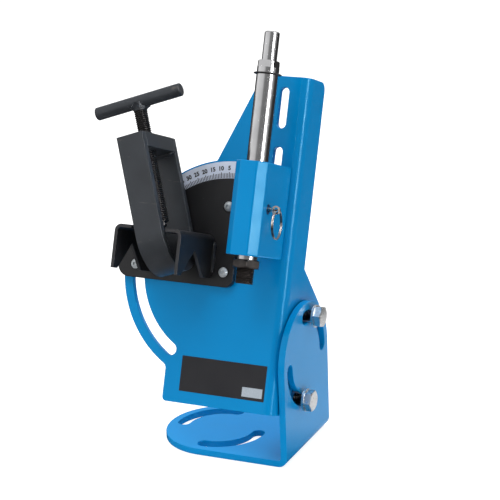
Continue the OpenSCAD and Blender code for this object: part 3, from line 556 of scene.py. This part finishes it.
SWING_PIVOT = np.array(joints["clamp_swing"]["pos_m"])
scale_points = in_axes("degree_scale", SWING_PIVOT, PLATE_AXES)
scale_face = scale_points[:, 1].min()
SCALE_INNER = np.hypot(scale_points[:, 0], scale_points[:, 2]).min()
LINE_START, LINE_END, LONG_LINE_END = 0.0004, 0.0045, 0.0054
LINE_HALF_WIDTH, LONG_LINE_HALF_WIDTH = 0.00033, 0.00038
DIGIT_MIDDLE, DIGIT_SIZE, DIGIT_BOLDNESS = 0.0088, 0.0051, 0.00024
PRINT_RISE = 0.00004
LAST_DEGREE = 60

brushed_aluminium = plated_metal(
    "brushed_aluminium", (0.72, 0.78, 0.92), (0.60, 0.66, 0.76), 0.45, grain=900.0, mottle=50.0,
    metal=0.2,
)
black_print, tree, shader, place = new_material("black_print")
worn = noise(tree, place, 1500.0, 3.0)
ink = ramp(tree, worn, [(0.35, (0.012, 0.012, 0.014)), (0.75, (0.05, 0.05, 0.055))])
tree.links.new(ink, shader.inputs["Base Color"])
shader.inputs["Roughness"].default_value = 0.5


def on_scale(across, outwards, degree):
    """Points on the scale's face: across is along the strip to the right, outwards is the distance
    from the pivot, and degree turns both to the left about the pivot."""
    a = math.radians(degree)
    u = outwards * -math.sin(a) + across * math.cos(a)
    w = outwards * math.cos(a) + across * math.sin(a)
    v = np.full_like(u, scale_face - PRINT_RISE)
    return SWING_PIVOT + np.stack([u, v, w], axis=-1) @ PLATE_AXES


print_points, print_faces = [], []
for degree in range(LAST_DEGREE + 1):
    numbered = degree % 5 == 0
    half = LONG_LINE_HALF_WIDTH if numbered else LINE_HALF_WIDTH
    end = LONG_LINE_END if numbered else LINE_END
    across = np.array([-half, half, half, -half])
    outwards = SCALE_INNER + np.array([LINE_START, LINE_START, end, end])
    first = len(print_points)
    print_points += on_scale(across, outwards, degree).tolist()
    print_faces.append([first, first + 1, first + 2, first + 3])
    if numbered:
        words = bpy.data.curves.new("digits", "FONT")
        words.body = str(degree)
        words.size = DIGIT_SIZE
        words.align_x, words.align_y = "CENTER", "CENTER"
        words.offset = DIGIT_BOLDNESS
        words.resolution_u = 4
        holder = bpy.data.objects.new("digits", words)
        bpy.context.scene.collection.objects.link(holder)
        bpy.context.view_layer.update()
        letters = holder.to_mesh()
        flat = np.empty(len(letters.vertices) * 3)
        letters.vertices.foreach_get("co", flat)
        flat = flat.reshape(-1, 3)
        outwards = SCALE_INNER + DIGIT_MIDDLE + flat[:, 1]
        first = len(print_points)
        print_points += on_scale(flat[:, 0], outwards, degree).tolist()
        print_faces += [[first + i for i in face.vertices] for face in letters.polygons]
        holder.to_mesh_clear()
        bpy.data.objects.remove(holder)
print_mesh = bpy.data.meshes.new("scale_print")
print_mesh.from_pydata(print_points, [], print_faces)
print_mesh.materials.append(black_print)
scale_print = bpy.data.objects.new("scale_print", print_mesh)
bpy.context.scene.collection.objects.link(scale_print)
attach(scale_print, "frame")
dress(brushed_aluminium, "degree_scale")

# ---- Blank label -------------------------------------------------------------------------------
# A black film label low on the plate, with a small paper sticker in its corner. Both are left
# blank: the film has a faint embossed grain and the paper a soft fibre.

label_film, tree, shader, place = new_material("label_film")
cloud = noise(tree, place, 30.0, 2.0)
film = ramp(tree, cloud, [(0.3, (0.013, 0.013, 0.016)), (0.7, (0.018, 0.018, 0.021))])
tree.links.new(film, shader.inputs["Base Color"])
raise_up(tree, shader, noise(tree, place, 800.0, 3.0), 0.1, 0.00005)
shader.inputs["Roughness"].default_value = 0.42
shader.inputs["Specular IOR Level"].default_value = 0.33
dress(label_film, "blank_label")

sticker_paper, tree, shader, place = new_material("sticker_paper")
fibre = noise(tree, place, 700.0, 5.0)
paper = ramp(tree, fibre, [(0.3, (0.32, 0.37, 0.42)), (0.7, (0.39, 0.44, 0.49))])
tree.links.new(paper, shader.inputs["Base Color"])
shader.inputs["Roughness"].default_value = 0.7
dress(sticker_paper, "blank_sticker")

# ---- Clamp carrier and jaw ---------------------------------------------------------------------
# Six millimetre plate and three millimetre folded sheet, sprayed satin black. The spray is thin on
# the sheared edges, which show a greyer line; two ripple welds hold the jaw to the carrier.


def sprayed_black(name, colour, worn_colour, rough, metal=0.0, streak=(1.0, 1.0, 1.0)):
    """Thin satin spray: a dark and a slightly greyer tone in soft patches, pinhead texture as bump,
    and faint rub marks where a stretched noise rises above a threshold."""
    material, tree, shader, place = new_material(name)
    cloud = noise(tree, place, 38.0, 5.0)
    dark, grey = (tuple(share * c for c in colour) for share in (0.82, 1.18))
    drift = ramp(tree, cloud, [(0.28, dark), (0.72, grey)])
    stretched = add_node(tree, "ShaderNodeMapping", {"Vector": place, "Scale": streak}).outputs[0]
    rubbed = ramp(tree, noise(tree, stretched, 240.0, 7.0), [(0.66, 0.0), (0.76, 0.7)])
    tint = mix(tree, rubbed, drift, (*worn_colour, 1))
    tree.links.new(tint, shader.inputs["Base Color"])
    tree.links.new(wander(tree, cloud, rough - 0.05, rough + 0.06), shader.inputs["Roughness"])
    raise_up(tree, shader, noise(tree, place, 1100.0, 2.0), 0.14)
    shader.inputs["Metallic"].default_value = metal
    return material


satin_black = sprayed_black("satin_black", (0.009, 0.009, 0.010), (0.032, 0.032, 0.035), 0.42)
sheared_edge = sprayed_black("sheared_edge", (0.032, 0.032, 0.035), (0.07, 0.07, 0.07), 0.42, 0.3)

jaw_points = in_axes("clamp_jaw", SWING_PIVOT, PLATE_AXES)
jaw_low, jaw_high = jaw_points.min(0), jaw_points.max(0)


def jaw_edges(centres, normals):
    """1 for the jaw's sheared edges: its front end, the bottom of both flanges and the V cuts."""
    place = (centres - SWING_PIVOT) @ PLATE_AXES.T
    facing = normals @ PLATE_AXES.T
    front = facing[:, 1] < -0.9
    foot = (facing[:, 2] < -0.9) & (place[:, 2] < jaw_low[2] + 0.001)
    cut = (facing[:, 2] < -0.25) & (np.abs(facing[:, 1]) > 0.3)
    return np.where(front & (place[:, 1] < jaw_low[1] + 0.001) | foot | cut, 1, 0)


softened("clamp_carrier", "carrier", [satin_black])
softened(
    "clamp_jaw", "carrier", [satin_black, sheared_edge], edge_radius=0.0004,
    choose=jaw_edges,
)


def ripple_bead(start, along, first, second, length, radius, ripple):
    """A fillet weld: a quarter round between two faces, swept along its length. The radius is the
    bead's own, less a scallop that repeats at each ripple and leans along the seam."""
    steps = np.linspace(0, length, int(length / ripple * 9) + 2)
    turns = np.linspace(0, math.pi / 2, 9)
    lag = 0.35 * ripple * np.sin(2 * turns)
    phase = ((steps[:, None] + lag[None, :]) / ripple) % 1.0
    scallop = 0.16 * (1 - np.sqrt(np.clip(1 - (2 * phase - 1) ** 2, 0, 1)))
    ends = np.sqrt(np.clip(np.minimum(steps, length - steps) / radius, 0.05, 1))
    r = radius * ends[:, None] * (1 - scallop)
    arc = (
        start + steps[:, None, None] * along
        + r[..., None] * (np.cos(turns)[:, None] * first + np.sin(turns)[:, None] * second)
    )
    root = (start + steps[:, None] * along)[:, None, :]
    return np.concatenate([root, arc], axis=1)


BEAD_RIPPLE = 0.0021
weld_points = in_axes("jaw_welds", SWING_PIVOT, PLATE_AXES)
beads = []
for side in (-1, 1):
    own = weld_points[(weld_points[:, 0] - (jaw_low[0] + jaw_high[0]) / 2) * side > 0]
    low, high = own.min(0), own.max(0)
    corner = np.array([low[0] if side > 0 else high[0], high[1], low[2]])
    start = SWING_PIVOT + corner @ PLATE_AXES
    outwards = np.array([float(side), 0.0, 0.0])
    pair = (outwards, -PLATE_BACK) if side < 0 else (-PLATE_BACK, outwards)
    grid = ripple_bead(start, PLATE_UP, *pair, high[2] - low[2], high[0] - low[0], BEAD_RIPPLE)
    beads.append(
        grid_piece(
            f"jaw_bead_{side}", grid, satin_black, "carrier",
            closed=(False, True), caps=True,
        )
    )
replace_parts(joined(beads, "jaw_weld_beads"), "jaw_welds")

dull_zinc = plated_metal(
    "dull_zinc", (0.62, 0.66, 0.68), (0.44, 0.47, 0.48), 0.48, mottle=260.0, metal=0.55, dents=0.08
)
dress(dull_zinc, "carrier_screws")
dress(bright_zinc, "carrier_back_washers", "carrier_nuts", "pivot_sleeve", "slot_guides")
# Painted shade: the carrier washers take the near-black for the shadow gap round the screw heads.
dress(painted_shade_steel, "carrier_washers")

# ---- Clamp screw and tee handle ----------------------------------------------------------------
# A blackened M12 rod with its thread cut to the top, a loose pressure tip below, and a round bar
# welded across it as a handle. The bar is thinly sprayed slate grey with faint rub streaks.

SCREW_FOOT = np.array(joints["screw_turn"]["pos_m"])
SCREW_UP = np.array(joints["screw_turn"]["axis"], float)
SCREW_AXES = np.array([np.cross(PLATE_BACK, SCREW_UP), PLATE_BACK, SCREW_UP])
screw_points = in_axes("clamp_screw", SCREW_FOOT, SCREW_AXES)
tee_points = in_axes("tee_handle", SCREW_FOOT, SCREW_AXES)
tee_low, tee_high = tee_points.min(0), tee_points.max(0)
TEE_RADIUS = (tee_high[2] - tee_low[2]) / 2
TEE_HEIGHT = (tee_high[2] + tee_low[2]) / 2
SCREW_RADIUS = np.hypot(screw_points[:, 0], screw_points[:, 1]).max()
SCREW_PITCH, SCREW_THREAD_DEPTH = 0.00175, 0.00085

black_oxide = plated_metal(
    "black_oxide", (0.050, 0.048, 0.048), (0.034, 0.033, 0.033), 0.30, mottle=60.0, metal=0.7,
    dents=0.02,
)
slate_spray = sprayed_black(
    "slate_spray", (0.033, 0.037, 0.043), (0.100, 0.092, 0.088), 0.40, 0.25, (0.25, 1.0, 1.0)
)
thread = thread_grid(
    SCREW_FOOT, SCREW_UP, SCREW_RADIUS, SCREW_THREAD_DEPTH, SCREW_PITCH,
    screw_points[:, 2].min(), TEE_HEIGHT, around=36, steps=24, fade=0.8,
)
grid_piece(
    "clamp_screw_thread", thread, black_oxide, "screw", ("clamp_screw",),
    closed=(False, True), caps=True,
)
dress(black_oxide, "screw_nose")
softened("tee_handle", "screw", [slate_spray], edge_radius=0.00035)


def collar_bead(around=72, across=10):
    """The weld under the handle: at every angle it runs from the screw, three millimetres below the
    bar, out to the bar's underside, on a hollow arc with ripples that follow the angle."""
    turns = np.linspace(0, 2 * math.pi, around, endpoint=False)
    share = np.linspace(0, 1, across)[:, None]
    reach = SCREW_RADIUS + 0.0034 * np.abs(np.cos(turns)) ** 0.7 + 0.0002
    side = np.clip(np.abs(reach * np.sin(turns)), 0, TEE_RADIUS * 0.96)
    bar = TEE_HEIGHT - np.sqrt(TEE_RADIUS ** 2 - side ** 2) + 0.0004
    foot = TEE_HEIGHT - TEE_RADIUS - 0.0028
    ripple = 0.00016 * np.sin(22 * turns) * np.sin(math.pi * share)
    radius = SCREW_RADIUS - 0.0002 + (reach - SCREW_RADIUS) * share ** 1.7 + ripple
    height = foot + (bar - foot) * share ** 0.75
    return turned_grid(SCREW_FOOT, SCREW_UP, radius, height, turns)


grid_piece(
    "tee_weld_bead", collar_bead(), slate_spray, "screw", ("tee_weld",),
    closed=(False, True), caps=True,
)

# ---- Yoke --------------------------------------------------------------------------------------
# A strap bent to a U that hangs through the jaw, closed at the top by a thick bar with the screw's
# thread in it. Strap and bar are welded inside their corner and sprayed the same slate grey.

softened("yoke_strap", "yoke", [slate_spray], edge_radius=0.0005)
softened("yoke_bar", "yoke", [slate_spray], edge_radius=0.0005)
yoke_points = in_axes("yoke_welds", SCREW_FOOT, SCREW_AXES)
beads = []
for side in (-1, 1):
    own = yoke_points[yoke_points[:, 1] * side > 0]
    low, high = own.min(0), own.max(0)
    corner = np.array([low[0], high[1] if side > 0 else low[1], high[2]])
    start = SCREW_FOOT + corner @ SCREW_AXES
    inwards = -side * SCREW_AXES[1]
    pair = (inwards, -SCREW_UP) if side > 0 else (-SCREW_UP, inwards)
    grid = ripple_bead(start, SCREW_AXES[0], *pair, high[0] - low[0], high[2] - low[2], BEAD_RIPPLE)
    beads.append(
        grid_piece(
            f"yoke_bead_{side}", grid, slate_spray, "yoke",
            closed=(False, True), caps=True,
        )
    )
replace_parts(joined(beads, "yoke_weld_beads"), "yoke_welds")

# ---- Bearing block -----------------------------------------------------------------------------
# A solid block with broad chamfers, coated the same blue, that slides in the plate's slots and is
# held from behind by two bolts. Bronze bushings are pressed into both of its ends.

softened("bearing_block", "block", [blue_coat], edge_radius=0.0011)
bronze = plated_metal("turned_bronze", (0.62, 0.42, 0.18), (0.40, 0.25, 0.10), 0.30)
dress(bronze, "upper_bushing", "lower_bushing")
dress(bright_zinc, "block_bolts", "block_washers")
# Painted shade: the lock pin's bush is a deep blue for the shade inside the pin's hole in the block.
painted_hole_shade = powder_coat("painted_hole_shade", (0.000, 0.030, 0.105), (0.000, 0.022, 0.080), 0.45)
dress(painted_hole_shade, "lock_bush")

# ---- Lock pin and ring -------------------------------------------------------------------------
# A nickel plated pull pin whose eye carries a split ring: two coils of spring wire side by side,
# with a short crossing between them.

nickel = plated_metal("nickel_plate", (0.66, 0.63, 0.58), (0.30, 0.28, 0.25), 0.20)
ring_low, ring_high = (np.array(corner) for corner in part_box("pull_ring"))
RING_WIRE, COIL_SPACING, RING_TWIST = 0.00122, 0.00105, math.radians(5.4)


def split_ring(wire, gap, twist, around=150, section=12):
    """Two coils of wire: the centre runs twice round a circle in the upright plane that faces right,
    and its sideways offset changes from one coil to the other within a sixth of a turn. The whole
    ring hangs turned by the twist about the vertical."""
    centre = (ring_low + ring_high) / 2
    radius = (ring_high[2] - ring_low[2]) / 2 - wire / 2
    turns = np.linspace(0, 4 * math.pi - 0.16, around)
    cross = np.clip((turns - 2 * math.pi + 0.5) / 1.0, 0, 1)
    offset = gap * (cross * cross * (3 - 2 * cross) - 0.5)
    angle = turns + math.radians(60)
    out = np.stack([0 * angle, np.cos(angle), np.sin(angle)], axis=-1)
    middle = centre + radius * out + offset[:, None] * np.array([1.0, 0.0, 0.0])
    phi = np.linspace(0, 2 * math.pi, section, endpoint=False)
    flat = np.stack([np.cos(phi), np.sin(phi)], axis=-1)
    flat /= np.maximum(1.0, 1.12 * np.abs(flat).max(1))[:, None] ** 0.5
    points = middle[:, None, :] + wire / 2 * (
        flat[:, :1] * out[:, None, :] + flat[:, 1:] * np.array([1.0, 0.0, 0.0])
    ) - centre
    c, s = math.cos(twist), math.sin(twist)
    return centre + points @ np.array([[c, s, 0.0], [-s, c, 0.0], [0.0, 0.0, 1.0]])


grid_piece(
    "split_ring", split_ring(RING_WIRE, COIL_SPACING, RING_TWIST), nickel, "ring",
    ("pull_ring",), closed=(False, True), caps=True,
)
dress(nickel, "lock_pin")

# ---- Spindle -----------------------------------------------------------------------------------
# A ground steel shaft with a drill shank and two wrench flats at the top, and a black snap ring.
# Its nose is a blackened hexagon collar with the thread for the hole saw.

SPINDLE_FOOT = np.array(joints["spindle_spin"]["pos_m"])

ground_steel, tree, shader, place = new_material("ground_steel")
along = add_node(
    tree, "ShaderNodeVectorMath", {0: place, 1: tuple(PLATE_UP)}, operation="DOT_PRODUCT"
).outputs["Value"]
rings = add_node(
    tree, "ShaderNodeTexNoise", {"W": along, "Scale": 3200.0, "Detail": 4.0}, noise_dimensions="1D"
).outputs["Fac"]
stain = ramp(
    tree, noise(tree, place, 70.0, 4.0), [(0.3, (0.56, 0.56, 0.57)), (0.7, (0.66, 0.66, 0.67))]
)
tree.links.new(stain, shader.inputs["Base Color"])
tree.links.new(wander(tree, rings, 0.13, 0.20), shader.inputs["Roughness"])
raise_up(tree, shader, rings, 0.015, 0.00005)
shader.inputs["Metallic"].default_value = 1.0
dress(ground_steel, "spindle")

ring_black = sprayed_black("ring_black", (0.012, 0.012, 0.012), (0.03, 0.03, 0.03), 0.35)
dress(ring_black, "stop_ring")
brown_black = plated_metal(
    "brown_black", (0.052, 0.045, 0.042), (0.030, 0.026, 0.024), 0.36, metal=0.6, dents=0.04
)
softened("hex_collar", "spindle", [brown_black], edge_radius=0.0003)
saw_points = in_axes("saw_thread", SPINDLE_FOOT, PLATE_AXES)
saw_radius = np.hypot(saw_points[:, 0], saw_points[:, 1]).max()
SAW_THREAD_DEPTH, SAW_THREAD_PITCH = 0.00082, 0.00141
grid_piece(
    "saw_nose_thread",
    thread_grid(
        SPINDLE_FOOT, PLATE_UP, saw_radius, SAW_THREAD_DEPTH, SAW_THREAD_PITCH,
        saw_points[:, 2].min(), saw_points[:, 2].max(), around=48, steps=20, fade=0.6,
    ),
    brown_black, "spindle", ("saw_thread",), closed=(False, True), caps=True,
)
